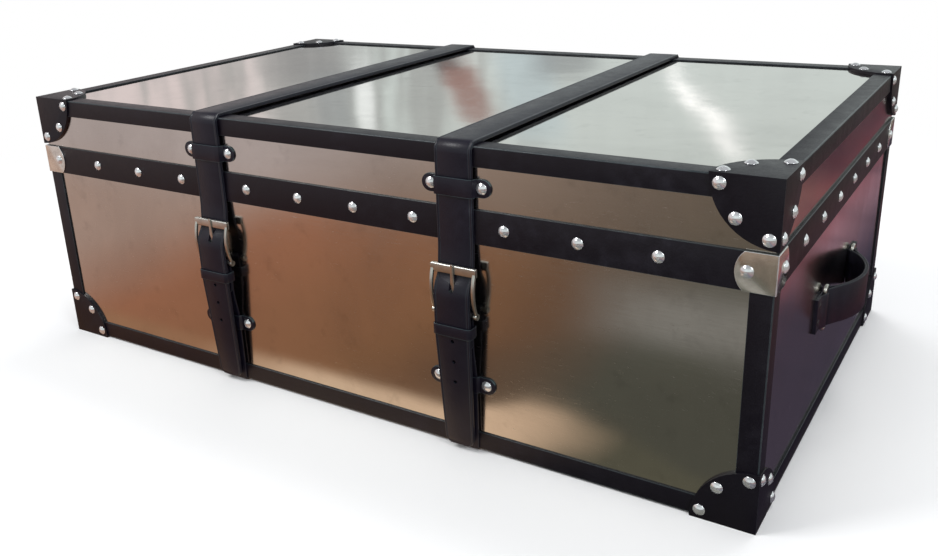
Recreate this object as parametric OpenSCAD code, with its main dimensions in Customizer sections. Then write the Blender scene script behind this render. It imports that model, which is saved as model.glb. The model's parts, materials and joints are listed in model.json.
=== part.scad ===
// Steamer trunk: metal-skinned plywood case and lid, leather edge bindings, corner caps,
// band, two buckled straps, end handles and a row of rear hinges.
// X runs along the trunk, the front faces -Y, Z points up. The origin is the middle of the
// base, at the height of the corner caps' lower faces.

/* [Trunk] */
// Length over the corner caps
trunk_l = 1016; // [840:2:1220]
// Width, front to back, over the corner caps
trunk_w = 610; // [480:2:740]
// Height over the corner caps
trunk_h = 356; // [300:2:430]
// Depth of the lid, from its top down to the seam
lid_h = 107; // [104:1:130]
// Gap between the lid and the rim of the case
lid_gap = 0.5; // [0.3:0.1:1]

/* [Boards and skins] */
// Thickness of the plywood boards
board_t = 9; // [7:0.5:12]
// Thickness of the metal sheets
sheet_t = 0.8; // [0.5:0.1:1.2]
// Thickness of the paper-backed cloth lining
lining_t = 1; // [0.6:0.2:2]
// Thickness of the lip that stands up into the lid
lip_t = 6; // [4:0.5:9]
// Height of the lip above the rim
lip_rise = 12; // [6:1:16]
// Depth of the lip below the rim
lip_drop = 24; // [16:1:36]
// Clearance from the lip to the lid's boards
lip_gap = 0.8; // [0.5:0.1:1.5]

/* [Bindings and corner caps] */
// Thickness of the leather bindings
binding_t = 2; // [1.5:0.1:2.4]
// Width of a binding on each face
binding_w = 20; // [16:1:24]
// Seam between two strips that butt at a corner
butt_gap = 0.2; // [0.1:0.1:0.5]
// Thickness of a corner cap where it lies over a binding
cap_t = 2; // [1.5:0.1:2.6]
// Radius of a corner cap
cap_r = 66; // [50:1:66]
// Distance from a cap's curved edge to its nails
cap_nail_inset = 9; // [7.5:0.5:10]

/* [Band and clips] */
// Height of the leather band along the lid's lower edge
band_w = 38; // [32:1:38]
// Thickness of the band
band_t = 2.5; // [2:0.1:3]
// Thickness of the metal corner clips
clip_t = 1.2; // [0.8:0.1:1.6]
// Length of a clip on each face
clip_l = 38; // [34:1:42]
// Radius of a clip's rounded end
clip_end_r = 26; // [20:1:30]
// Distance from the corner to a clip's nail
clip_nail = 27; // [22:1:28]
// Least distance between band nails
band_pitch = 79; // [60:1:100]
// Distance from a strap's edge to the nearest band nail
band_nail_off = 34.4; // [28:0.2:38]

/* [Dome nails] */
// Diameter of a nail's head
nail_d = 12.5; // [9:0.5:13]
// Height of a nail's head
nail_h = 3.2; // [2.4:0.2:3.6]
// Diameter of a nail's shank
shank_d = 2.4; // [1.6:0.2:2.8]
// Length of a nail's shank
shank_l = 7; // [6:0.2:7]

/* [Straps] */
// Distance of each strap from the middle of the trunk
strap_x = 179; // [130:1:220]
// Width of a strap
strap_w = 44; // [36:1:50]
// Thickness of a strap
strap_t = 4.5; // [3.5:0.1:5]
// Bend radius inside a strap, where it turns over an edge
strap_bend = 0.5; // [0.5:0.1:2]
// Length of the strap's rear end below the lid's top
strap_rear = 58; // [50:1:60]
// Height of a strap's free end above the base
tail_end = 8; // [4:1:30]
// Depth of a strap's free end in front of the sheet
tail_out = 8; // [6.5:0.5:15]
// Width of a strap's free end, to which it tapers from the keeper down
tip_w = 36; // [30:0.5:44]
// Distance below the seam at which a strap starts to bend
tail_drop = 6; // [5:1:12]
// Gap between the parts of a strap that bend against each other
bend_gap = 0.3; // [0.2:0.1:0.6]
// Diameter of the spare holes in a strap
hole_d = 4.5; // [3:0.5:6]
// Spacing of the holes in a strap
hole_pitch = 25; // [20:1:30]
// Height of the anchor nails above a strap's rear end
anchor_rise = 9; // [8:0.5:12]
// Clearance between leather pieces that pass over each other
leather_gap = 0.3; // [0.2:0.1:0.6]

/* [Strap loops and keepers] */
// Height of a strap loop
loop_h = 20; // [14:1:20]
// Thickness of a strap loop
loop_t = 2; // [1.5:0.1:2.2]
// Clearance from a loop's bridge to the heads of its nails
loop_nail_gap = 0.45; // [0.2:0.05:1]
// Distance from a loop's nail to the end of the loop
loop_end = 11; // [9:0.5:14]
// Height of the upper loops above the seam
upper_loop_rise = 61; // [60:1:66]
// Height of the lower loops above the base
lower_loop_z = 84; // [60:1:100]
// Height of a keeper
keeper_h = 15; // [10:1:18]
// Thickness of a keeper
keeper_t = 1.6; // [1.2:0.1:1.7]
// Distance from the heel bar down to the keeper's top edge
keeper_drop = 10; // [9:1:14]

/* [Buckles] */
// Clearance from a strap's edge to the buckle's side bars
buckle_play = 2; // [1:0.5:4]
// Thickness of the side bars, along the trunk
buckle_side = 4; // [3:0.5:4]
// Height of the heel bar above the base
heel_z = 170; // [160:1:190]
// Radius of the heel bar
heel_r = 2; // [1.5:0.1:2.5]
// Radius of the eye at each end of the heel bar
eye_r = 3.6; // [3:0.1:4]
// Distance from the heel bar up to the middle of the top bar
buckle_l = 50; // [46:1:54]
// Height of the top bar
bar_h = 10; // [8:1:12]
// Thickness of the top bar
bar_t = 4; // [3:0.5:5]
// Bevel along the front edges of the top bar
bar_bevel = 1.2; // [0.6:0.1:1.6]
// Distance from a strap's front face to the back of the top bar
bar_off = 0.5; // [0.3:0.1:1.5]
// Outward bow of the side bars
buckle_bow = 5; // [3:0.5:6]
// Thickness of the side bars, front to back
side_thick = 3.2; // [2.4:0.1:4]
// Thickness of the prong
prong_t = 2; // [1.6:0.1:2.4]
// Width of the prong
prong_w = 5; // [4:0.5:6]
// Length of the prong beyond the top bar
prong_over = 2; // [1:0.5:4]
// Thickness of the prong's curl round the heel bar
curl_t = 1.6; // [1.2:0.1:2]
// Radial clearance of the prong and the chape around the heel bar
heel_gap = 0.2; // [0.1:0.05:0.4]
// Clearance on each side of the prong in the strap's hole
hole_play = 0.5; // [0.3:0.1:1]
// Clearance on each side of the prong in the chape's slot
slot_play = 2; // [1:0.5:3]
// Distance from the top bar down to where the strap starts to come forward
cross_drop = 3; // [2:0.5:6]
// Distance from the heel bar up to where the strap lies over it
cross_rise = 28; // [20:0.5:30]
// Distance that the buckled end of the chape strap stands off the front
stand_off = 5; // [0:0.1:5.2]
// Share of that distance by which the strap stands off behind the top bar
stand_share = 0.6; // [0.3:0.1:0.8]
// Inset of the chape strap from each edge of the strap
chape_inset = 2; // [1:0.5:4]
// Thickness of the chape strap
chape_t = 2; // [1.6:0.1:2]
// Length of the chape strap's end under the base
chape_under = 36; // [26:1:60]
// Length of the chape's turned-back front layer below the heel bar
chape_turn = 44; // [36:1:50]

/* [Handles] */
// Distance between the two grip bars of a handle
handle_span = 136; // [110:1:170]
// Outward bow of a handle
handle_bow = 27; // [22:1:32]
// Height of a handle's strap
handle_w = 44; // [36:1:50]
// Thickness of a handle's strap
handle_t = 5; // [4:0.5:7]
// Height of a handle's middle above the base
handle_z = 150; // [120:1:180]
// Radius of the ring wire
ring_r = 2; // [1.6:0.1:2.5]
// Distance between the two upright bars of a ring
ring_gap = 12; // [11:0.5:16]
// Thickness of the leather that turns round a ring's bars
tab_t = 2; // [1.6:0.1:2.2]
// Length of a tab beyond the ring
tab_l = 26; // [22:1:34]
// Inset of a tab from each edge of the handle
tab_inset = 2; // [1:0.5:4]
// Gap behind the leather that turns round a ring's bars
ring_off = 0.5; // [0.3:0.1:1]
// Clearance from the handle's edges to the ends of a ring
ring_clear = 1; // [0.5:0.5:3]
// Diameter of the tabs' rivets
rivet_d = 8; // [6:0.5:10]
// Height of the rivets' heads
rivet_h = 1; // [0.6:0.1:1.6]

/* [Hinges] */
// Width of a hinge
hinge_w = 64; // [48:1:66]
// Height of each leaf
leaf_h = 30; // [24:1:34]
// Thickness of each leaf
leaf_t = 1.6; // [1.2:0.1:2]
// Outer radius of the knuckles
knuckle_r = 4; // [3.5:0.1:5]
// Radius of the hinge pin
pin_r = 2; // [1.5:0.1:2.2]
// Radial clearance of the pin in the knuckles
pin_gap = 0.05; // [0.02:0.01:0.08]
// Thickness of the pin's heads
pin_head = 1; // [0.8:0.1:1.5]
// Inset of the pin's heads from the surface of the knuckles
pin_head_in = 0.6; // [0.3:0.1:1]
// Gap beside each knuckle
knuckle_gap = 0.3; // [0.2:0.1:0.5]
// Gap between a knuckle and the sheet behind it
knuckle_off = 0.3; // [0.2:0.1:0.6]
// Diameter of the hinge screws' heads
screw_d = 6; // [5:0.5:7]
// Height of the screws' heads
screw_h = 1; // [0.6:0.1:1.4]

/* [Hidden] */
$fn = 48;
eps = 0.01;
leather = "#1d1a20";
metal = "#9a958a";
chrome = "#c9ccd0";
wood = "#b98f5f";
cloth = "#6e5a48";

skin = binding_t + cap_t;
half_l = trunk_l / 2;
half_w = trunk_w / 2;
face_x = half_l - skin;
face_y = half_w - skin;
base_z = skin;
top_z = trunk_h - skin;
seam_z = trunk_h - lid_h;
rim_z = seam_z - lid_gap;
wall_x = face_x - sheet_t - board_t;
wall_y = face_y - sheet_t - board_t;
floor_z = base_z + sheet_t + board_t;
ceiling_z = top_z - sheet_t - board_t;

band_top = seam_z + band_w;
clip_y = band_t + clip_t;
tail_z = seam_z - tail_drop;
strap_xs = [-strap_x, strap_x];

// Depths in front of the sheet: the strap, the chape, the heel bar and the top bar.
strap_in = max(band_t, binding_t + strap_bend);
strap_out = strap_in + strap_t;
chape_d = binding_t;
heel_d = chape_d + stand_off + chape_t + heel_r + heel_gap;
wrap_r = heel_r + heel_gap + chape_t;
over_d = heel_d + wrap_r + leather_gap;
cross_d = strap_in + stand_share * stand_off;
bar_d = cross_d + strap_t + bar_off;
bar_z = heel_z + buckle_l;
cross_top = bar_z - bar_h / 2 - cross_drop;
cross_low = heel_z + cross_rise;
keeper_z = heel_z - keeper_drop - keeper_h;
buckle_w = strap_w + 2 * (buckle_side + buckle_play);
chape_w = strap_w - 2 * chape_inset;
// The prong leans from the heel bar to the front of the top bar, and meets the strap between.
prong_run = buckle_l - bar_h / 2;
prong_slope = (bar_d + bar_t + heel_gap + prong_t / 2 - heel_d) / prong_run;
strap_slope = (over_d - cross_d) / (cross_top - cross_low);
prong_hole_z = (over_d + strap_t / 2 - heel_d + strap_slope * cross_low + prong_slope * heel_z)
    / (strap_slope + prong_slope);
prong_hole_h = (strap_t + prong_t + 2 * leather_gap) / (strap_slope + prong_slope) + 2 * bend_gap;
prong_hole_w = prong_w + 2 * hole_play;
prong_l = buckle_l + bar_h / 2 + prong_over;
end_r = tip_w / 4;
slot_w = prong_w + 2 * slot_play;

axis_y = face_y + knuckle_r + knuckle_off;
axis_z = (rim_z + seam_z) / 2;
knuckles = 5;
knuckle_w = hinge_w / knuckles;
// Half the width that a hinge takes out of the back band.
hinge_cut = hinge_w / 2 + knuckle_gap + pin_head + leather_gap;
screw_x = hinge_w * 0.32;
screw_z = leaf_h * 0.62;

ring_d = tab_t + ring_r + ring_off;
ring_z = handle_w / 2 + ring_r + ring_clear;
ring_y = handle_span / 2;
tab_h = handle_w - 2 * tab_inset;
tab_thick = ring_d - ring_r / 2;

// ---- Shared shapes ----

// A box between two opposite corners, in either order.
module block(a, b) {
    low = [min(a.x, b.x), min(a.y, b.y), min(a.z, b.z)];
    high = [max(a.x, b.x), max(a.y, b.y), max(a.z, b.z)];
    translate(low) cube(high - low);
}

// Extrudes a profile drawn in Y and Z along X, centred on x = 0.
module along_x(w) {
    translate([-w / 2, 0, 0]) rotate([90, 0, 90]) linear_extrude(w) children();
}

// Turns a profile drawn as depth in front of the sheet and height into Y and Z.
module from_front() {
    translate([-face_y, 0]) mirror([1, 0]) children();
}

module round_rect(w, h, r) {
    square([w - 2 * r, h], center = true);
    square([w, h - 2 * r], center = true);
    for (x = [-1, 1], y = [-1, 1])
        translate([x * (w / 2 - r), y * (h / 2 - r)]) circle(r);
}

// A dome nail standing on z = 0, with its shank below.
module nail() {
    dome_r = (pow(nail_d / 2, 2) + pow(nail_h, 2)) / (2 * nail_h);
    intersection() {
        translate([0, 0, nail_h - dome_r]) sphere(dome_r);
        cylinder(d = nail_d + 1, h = nail_h + 1);
    }
    translate([0, 0, -shank_l]) cylinder(d = shank_d, h = shank_l + 0.5);
}

// Points the nail's head along the front, the back or an end.
module nail_front(x, z, d, side = -1) {
    translate([x, side * (face_y + d), z]) rotate([-90 * side, 0, 0]) nail();
}
module nail_end(side, y, z, d) {
    translate([side * (face_x + d), y, z]) rotate([0, 90 * side, 0]) nail();
}

// Places children once for each vertical corner, mirrored from the corner at +X and +Y.
module at_corners() {
    for (mx = [0, 1], my = [0, 1])
        mirror([mx, 0, 0]) mirror([0, my, 0]) children();
}

// Four walls of a box, as boards or sheets: front, back and two ends.
module front_wall(y, t, x, z0, z1) {
    block([-x, -y, z0], [x, -y + t, z1]);
}
module back_wall(y, t, x, z0, z1) {
    block([-x, y, z0], [x, y - t, z1]);
}
module end_walls(x, t, y, z0, z1) {
    for (s = [-1, 1]) block([s * x, -y, z0], [s * (x - t), y, z1]);
}

// ---- Case: boards, sheets and lining ----

module case_floor_board() {
    color(wood) block([-wall_x, -wall_y, base_z + sheet_t], [wall_x, wall_y, floor_z]);
}
module case_front_board() {
    color(wood) front_wall(face_y - sheet_t, board_t, face_x - sheet_t, base_z + sheet_t, rim_z);
}
module case_back_board() {
    color(wood) back_wall(face_y - sheet_t, board_t, face_x - sheet_t, base_z + sheet_t, rim_z);
}
module case_end_boards() {
    color(wood) end_walls(face_x - sheet_t, board_t, wall_y, base_z + sheet_t, rim_z);
}

// The lip's strips step back above the rim, so that the lid's boards pass outside them.
module lip_profile() {
    polygon([
        [0, rim_z - lip_drop], [lip_t, rim_z - lip_drop], [lip_t, rim_z + lip_rise],
        [lip_gap, rim_z + lip_rise], [lip_gap, rim_z], [0, rim_z]
    ]);
}
module case_lip() {
    long = 2 * (wall_x - lip_gap);
    short = 2 * (wall_y - lip_t - butt_gap);
    color(wood) {
        for (my = [0, 1]) mirror([0, my, 0])
            along_x(long) translate([-wall_y, 0]) lip_profile();
        for (a = [90, -90]) rotate([0, 0, a])
            along_x(short) translate([-wall_x, 0]) lip_profile();
    }
}

module case_bottom_sheet() {
    color(metal) block([sheet_t - face_x, sheet_t - face_y, base_z],
        [face_x - sheet_t, face_y - sheet_t, base_z + sheet_t]);
}
module case_front_sheet() {
    color(metal) front_wall(face_y, sheet_t, face_x, base_z, rim_z);
}
module case_back_sheet() {
    color(metal) back_wall(face_y, sheet_t, face_x, base_z, rim_z);
}
module case_end_sheets() {
    color(metal) end_walls(face_x, sheet_t, face_y - sheet_t, base_z, rim_z);
}

module case_lining() {
    high = rim_z - lip_drop;
    color(cloth) difference() {
        block([-wall_x, -wall_y, floor_z], [wall_x, wall_y, high]);
        block([lining_t - wall_x, lining_t - wall_y, floor_z + lining_t],
            [wall_x - lining_t, wall_y - lining_t, high + 1]);
    }
}

// ---- Bindings ----

// An L-shaped strip along X on the edge at y = side * face_y and z; up is +1 for a top edge.
module binding_along_x(side, z, up, x) {
    block([-x, side * face_y, z + up * binding_t],
        [x, side * (face_y + binding_t), z - up * binding_w]);
    block([-x, side * (face_y - binding_w), z], [x, side * (face_y + binding_t), z + up * binding_t]);
}
module binding_along_y(side, z, up, y) {
    block([side * face_x, -y, z + up * binding_t],
        [side * (face_x + binding_t), y, z - up * binding_w]);
    block([side * (face_x - binding_w), -y, z], [side * (face_x + binding_t), y, z + up * binding_t]);
}
module edge_bindings(z, up) {
    for (side = [-1, 1]) {
        binding_along_x(side, z, up, face_x);
        binding_along_y(side, z, up, face_y - binding_w - butt_gap);
    }
}

module case_bottom_bindings() {
    color(leather) edge_bindings(base_z, -1);
}
module case_corner_bindings() {
    z0 = base_z + binding_w + butt_gap;
    outer = [face_x + binding_t, face_y + binding_t, rim_z];
    color(leather) at_corners() {
        block([face_x - binding_w, face_y, z0], outer);
        block([face_x, face_y - binding_w, z0], outer);
    }
}
module lid_bindings() {
    color(leather) edge_bindings(top_z, 1);
}

// ---- Corner caps ----

// A cap for the corner at the origin, with the trunk on the negative side of X, Y and Z.
module cap_plates() {
    intersection() {
        translate([-cap_r, -cap_r, -cap_r]) cube(cap_r);
        union() {
            translate([0, 0, -skin]) cylinder(r = cap_r, h = skin);
            translate([-skin, 0, 0]) rotate([0, 90, 0]) cylinder(r = cap_r, h = skin);
            translate([0, -skin, 0]) rotate([-90, 0, 0]) cylinder(r = cap_r, h = skin);
        }
    }
}
module case_corner_caps() {
    color(leather) difference() {
        at_corners() translate([half_l, half_w, 0]) mirror([0, 0, 1]) cap_plates();
        case_bottom_bindings();
        case_corner_bindings();
    }
}
module lid_corner_caps() {
    color(leather) difference() {
        at_corners() translate([half_l, half_w, trunk_h]) cap_plates();
        lid_bindings();
    }
}

cap_nail_angles = [10, 45, 80];
function cap_nail_u(a) = (cap_r - cap_nail_inset) * cos(a);
function cap_nail_v(a) = (cap_r - cap_nail_inset) * sin(a);

// Nails on the upright faces of the cap whose corner is at height z; up is +1 on the lid.
module cap_side_nails(z, up) {
    for (sx = [-1, 1], sy = [-1, 1], a = cap_nail_angles) {
        nail_front(sx * (half_l - cap_nail_u(a)), z - up * cap_nail_v(a), skin, sy);
        nail_end(sx, sy * (half_w - cap_nail_u(a)), z - up * cap_nail_v(a), skin);
    }
}
module case_cap_nails() {
    color(chrome) cap_side_nails(0, -1);
}
module lid_cap_nails() {
    color(chrome) {
        cap_side_nails(trunk_h, 1);
        for (sx = [-1, 1], sy = [-1, 1], a = cap_nail_angles)
            translate([sx * (half_l - cap_nail_u(a)), sy * (half_w - cap_nail_v(a)), trunk_h]) nail();
    }
}

// ---- Lid: boards, sheets and lining ----

module lid_top_board() {
    color(wood) block([-wall_x, -wall_y, ceiling_z], [wall_x, wall_y, top_z - sheet_t]);
}
module lid_front_board() {
    color(wood) front_wall(face_y - sheet_t, board_t, face_x - sheet_t, seam_z, top_z - sheet_t);
}
module lid_back_board() {
    color(wood) back_wall(face_y - sheet_t, board_t, face_x - sheet_t, seam_z, top_z - sheet_t);
}
module lid_end_boards() {
    color(wood) end_walls(face_x - sheet_t, board_t, wall_y, seam_z, top_z - sheet_t);
}
module lid_top_sheet() {
    color(metal) block([sheet_t - face_x, sheet_t - face_y, top_z - sheet_t],
        [face_x - sheet_t, face_y - sheet_t, top_z]);
}
module lid_front_sheet() {
    color(metal) front_wall(face_y, sheet_t, face_x, seam_z, top_z);
}
module lid_back_sheet() {
    color(metal) back_wall(face_y, sheet_t, face_x, seam_z, top_z);
}
module lid_end_sheets() {
    color(metal) end_walls(face_x, sheet_t, face_y - sheet_t, seam_z, top_z);
}
module lid_lining() {
    low = rim_z + lip_rise + 2;
    color(cloth) difference() {
        block([-wall_x, -wall_y, low], [wall_x, wall_y, ceiling_z]);
        block([lining_t - wall_x, lining_t - wall_y, low - 1],
            [wall_x - lining_t, wall_y - lining_t, ceiling_z - lining_t]);
    }
}

// ---- Band, its nails and the corner clips ----

band_z = seam_z + band_w / 2;
module band_front() {
    color(leather)
        block([-face_x - band_t, -face_y, seam_z], [face_x + band_t, -face_y - band_t, band_top]);
}
// The back band is cut where the hinges sit.
module band_back() {
    color(leather) difference() {
        block([-face_x - band_t, face_y, seam_z], [face_x + band_t, face_y + band_t, band_top]);
        for (x = hinge_xs)
            block([x - hinge_cut, face_y - 1, seam_z - 1],
                [x + hinge_cut, face_y + band_t + 1, band_top + 1]);
    }
}
module band_ends() {
    color(leather) for (s = [-1, 1])
        block([s * face_x, -face_y, seam_z], [s * (face_x + band_t), face_y, band_top]);
}

// Nails are spaced evenly between two fixed places.
function spread(a, b, gaps) = let (n = max(1, gaps)) [for (i = [0:n]) a + (b - a) * i / n];
function inside(row, x) = [for (v = row) if (abs(v) < x - eps) v];
clip_x = half_l - clip_nail;
clip_end_y = half_w - clip_nail;
// Along the front and back, two neighbours leave room for a hinge between them. The inner row has
// an odd number of gaps, so that the middle hinge has one to itself.
hinge_pitch = max(band_pitch, 2 * hinge_cut + nail_d);
nail_in = strap_x - strap_w / 2 - band_nail_off;
nail_out = strap_x + strap_w / 2 + band_nail_off;
outer_row = spread(nail_out, clip_x, floor((clip_x - nail_out) / hinge_pitch));
inner_row = spread(-nail_in, nail_in, 2 * floor(nail_in / hinge_pitch - 0.5) + 1);
end_row = spread(-clip_end_y, clip_end_y, floor(2 * clip_end_y / band_pitch));
hinge_gap = floor((len(outer_row) - 1) / 2);
hinge_x = (outer_row[hinge_gap] + outer_row[hinge_gap + 1]) / 2;
hinge_xs = [-hinge_x, 0, hinge_x];

module band_nails() {
    color(chrome) {
        for (side = [-1, 1]) {
            for (x = inner_row) nail_front(x, band_z, band_t, side);
            for (s = [-1, 1], x = inside(outer_row, clip_x)) nail_front(s * x, band_z, band_t, side);
            for (s = [-1, 1]) nail_front(s * clip_x, band_z, clip_y, side);
            for (y = inside(end_row, clip_end_y)) nail_end(side, y, band_z, band_t);
            for (s = [-1, 1]) nail_end(side, s * clip_end_y, band_z, clip_y);
        }
    }
}

// One leg of a clip, from the corner along +X, centred on the band.
module clip_leg() {
    u = clip_l - clip_end_r;
    square_l = u + sqrt(pow(clip_end_r, 2) - pow(band_w / 2, 2));
    intersection() {
        translate([0, -band_w / 2]) square([clip_l, band_w]);
        union() {
            translate([u, 0]) circle(clip_end_r);
            translate([0, -band_w / 2]) square([square_l - 1, band_w]);
        }
    }
}
module corner_clips() {
    cx = face_x + clip_y;
    cy = face_y + clip_y;
    color(chrome) at_corners() {
        translate([cx, cy - clip_t, band_z]) mirror([1, 0, 0])
            rotate([90, 0, 0]) mirror([0, 0, 1]) linear_extrude(clip_t) clip_leg();
        translate([cx - clip_t, cy, band_z]) rotate([90, 0, 90]) mirror([1, 0, 0])
            linear_extrude(clip_t) clip_leg();
    }
}

// ---- Straps ----

// The strap's run over the lid, seen from the end: down the back, over the top, down the front.
module strap_run() {
    in_w = 2 * (face_y + strap_in);
    in_top = top_z + binding_t;
    in_h = 2 * (in_top - axis_z);
    difference() {
        translate([0, axis_z]) round_rect(in_w + 2 * strap_t, in_h + 2 * strap_t, strap_bend + strap_t);
        translate([0, axis_z]) round_rect(in_w, in_h, strap_bend);
        translate([0, tail_z - trunk_h]) square([2 * trunk_w, 2 * trunk_h], center = true);
        translate([0, 0]) square([trunk_w, in_top + strap_t - strap_rear]);
    }
}
module strap(x) {
    color(leather) translate([x, 0, 0]) along_x(strap_w) strap_run();
}
module strap_left() { strap(-strap_x); }
module strap_right() { strap(strap_x); }

strap_end_z = top_z + binding_t + strap_t - strap_rear;
module strap_anchor_nails() {
    color(chrome) for (x = strap_xs, s = [-1, 1])
        nail_front(x + s * strap_w / 4, strap_end_z + anchor_rise, strap_out, 1);
}

// The loose part of a strap: behind the top bar, over the heel bar, through the keeper, and then
// back towards the case, because the buckled part stands off it.
tail_line = [
    [strap_in, tail_z - bend_gap], [cross_d, cross_top], [over_d, cross_low],
    [over_d, keeper_z - leather_gap], [tail_out, tail_end]
];
module tail_profile() {
    n = len(tail_line);
    polygon([
        for (p = tail_line) p,
        for (i = [n - 1:-1:0]) tail_line[i] + [strap_t, 0]
    ]);
}
// What is cut from one side of the tail: its taper, and a rounded lower corner.
module tail_side() {
    half = tip_w / 2;
    polygon([[strap_w / 2, keeper_z], [strap_w, keeper_z], [strap_w, tail_end - 1],
        [half, tail_end - 1], [half, tail_end + end_r]]);
    translate([half - end_r, tail_end + end_r]) difference() {
        translate([0, -end_r - 1]) square(end_r + 1);
        circle(end_r);
    }
}
module strap_tail(x) {
    hole_zs = [for (i = [2.5:4.5]) prong_hole_z - i * hole_pitch];
    deep = face_y + tail_out + 2 * strap_t;
    color(leather) translate([x, 0, 0]) difference() {
        along_x(strap_w) from_front() tail_profile();
        block([-prong_hole_w / 2, -face_y, prong_hole_z - prong_hole_h / 2],
            [prong_hole_w / 2, -deep, prong_hole_z + prong_hole_h / 2]);
        for (z = hole_zs) translate([0, -face_y, z]) rotate([90, 0, 0])
            cylinder(d = hole_d, h = deep - face_y);
        for (m = [0, 1]) mirror([m, 0, 0]) translate([0, -face_y, 0])
            rotate([90, 0, 0]) linear_extrude(deep - face_y) tail_side();
    }
}
module strap_tail_left() { strap_tail(-strap_x); }
module strap_tail_right() { strap_tail(strap_x); }

// ---- Loops ----

// A loop over leather of width w whose outer face is at depth d.
module strap_loop(x, z, w, d) {
    in_w = w / 2 + leather_gap;
    out_d = d + leather_gap + loop_t;
    color(leather) translate([x, -face_y, z]) intersection() {
        translate([0, 0, -loop_h / 2]) linear_extrude(loop_h) difference() {
            union() {
                translate([-loop_l / 2, -loop_t]) square([loop_l, loop_t]);
                translate([-in_w - loop_t, -out_d]) square([2 * (in_w + loop_t), out_d]);
            }
            translate([-in_w, -out_d + loop_t]) square([2 * in_w, out_d]);
        }
        rotate([90, 0, 0]) translate([0, 0, -1]) linear_extrude(out_d + 2)
            round_rect(loop_l, loop_h, loop_h / 2 - eps);
    }
}
loop_nail = strap_w / 2 + leather_gap + loop_t + loop_nail_gap + nail_d / 2;
loop_l = 2 * (loop_nail + loop_end);
module loop_nails(z) {
    color(chrome) for (x = strap_xs, s = [-1, 1]) nail_front(x + s * loop_nail, z, loop_t);
}
upper_loop_z = seam_z + upper_loop_rise;
module upper_loops() {
    for (x = strap_xs) strap_loop(x, upper_loop_z, strap_w, strap_out);
}
module upper_loop_nails() { loop_nails(upper_loop_z); }
module lower_loops() {
    for (x = strap_xs) strap_loop(x, lower_loop_z, chape_w, chape_d + chape_t);
}
module lower_loop_nails() { loop_nails(lower_loop_z); }

// ---- Chapes and keepers ----

// The chape comes up from under the base, leans out above its loop, turns round the heel bar and
// is stitched to itself.
module chape_profile() {
    back = chape_d + stand_off + chape_t;
    front = heel_d + wrap_r;
    turn_z = heel_z - chape_turn;
    top = heel_z - heel_r / 2;
    line = [[chape_d + stand_off, top], [chape_d + stand_off, turn_z],
        [chape_d, lower_loop_z + loop_h / 2], [chape_d, 0]];
    difference() {
        union() {
            polygon([for (p = line) p, for (i = [len(line) - 1:-1:0]) line[i] + [chape_t, 0]]);
            translate([-chape_under, 0]) square([chape_under + chape_d + chape_t, cap_t]);
            translate([heel_d, heel_z]) circle(wrap_r);
            polygon([[front, top], [heel_d, heel_z], [back - chape_t / 4, heel_z - 2 * wrap_r],
                [back - chape_t / 4, turn_z + chape_t], [back + chape_t, turn_z + chape_t],
                [front, turn_z + chape_turn / 2]]);
        }
        translate([heel_d, heel_z]) circle(heel_r + heel_gap);
    }
}
module chape(x) {
    color(leather) translate([x, 0, 0]) difference() {
        along_x(chape_w) from_front() chape_profile();
        block([-slot_w / 2, -face_y, heel_z - 2 * wrap_r],
            [slot_w / 2, -face_y - heel_d - 2 * wrap_r, heel_z + 2 * wrap_r]);
    }
}
module chape_left() { chape(-strap_x); }
module chape_right() { chape(strap_x); }

module keepers() {
    in_w = strap_w / 2 + leather_gap;
    out_w = in_w + keeper_t;
    in_d = over_d + strap_t + leather_gap;
    back_d = chape_d + stand_off - keeper_t - butt_gap;
    z0 = keeper_z;
    z1 = keeper_z + keeper_h;
    color(leather) for (x = strap_xs) translate([x, 0, 0]) difference() {
        block([-out_w, -face_y - back_d, z0], [out_w, -face_y - in_d - keeper_t, z1]);
        block([-in_w, -face_y - back_d - keeper_t, z0 - 1], [in_w, -face_y - in_d, z1 + 1]);
    }
}

// ---- Buckles ----

// Centre line of the side bars: an arc from the heel bar to the top bar, bowed outwards.
side_top = [bar_d + bar_t / 2, bar_z];
side_low = [heel_d, heel_z];
side_chord = norm(side_top - side_low);
side_r = (pow(side_chord / 2, 2) + pow(buckle_bow, 2)) / (2 * buckle_bow);
side_dir = (side_top - side_low) / side_chord;
side_centre = (side_top + side_low) / 2 - [side_dir.y, -side_dir.x] * (side_r - buckle_bow);
module side_bar() {
    intersection() {
        translate(side_centre) difference() {
            circle(side_r + side_thick / 2, $fn = 96);
            circle(side_r - side_thick / 2, $fn = 96);
        }
        translate([side_low.x - eye_r, heel_z]) square([bar_d + 2 * buckle_bow, buckle_l]);
    }
    translate(side_low) circle(eye_r);
}
module top_bar() {
    z0 = bar_z - bar_h / 2;
    z1 = bar_z + bar_h / 2;
    front = bar_d + bar_t;
    polygon([[bar_d, z0], [front - bar_bevel, z0], [front, z0 + bar_bevel],
        [front, z1 - bar_bevel], [front - bar_bevel, z1], [bar_d, z1]]);
}
module buckle_frame(x) {
    color(chrome) translate([x, 0, 0]) {
        along_x(buckle_w) from_front() top_bar();
        for (s = [-1, 1]) translate([s * (buckle_w - buckle_side) / 2, 0, 0])
            along_x(buckle_side) from_front() side_bar();
        along_x(buckle_w - buckle_side) from_front() translate(side_low) circle(heel_r);
    }
}
module buckle_frame_left() { buckle_frame(-strap_x); }
module buckle_frame_right() { buckle_frame(strap_x); }

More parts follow.
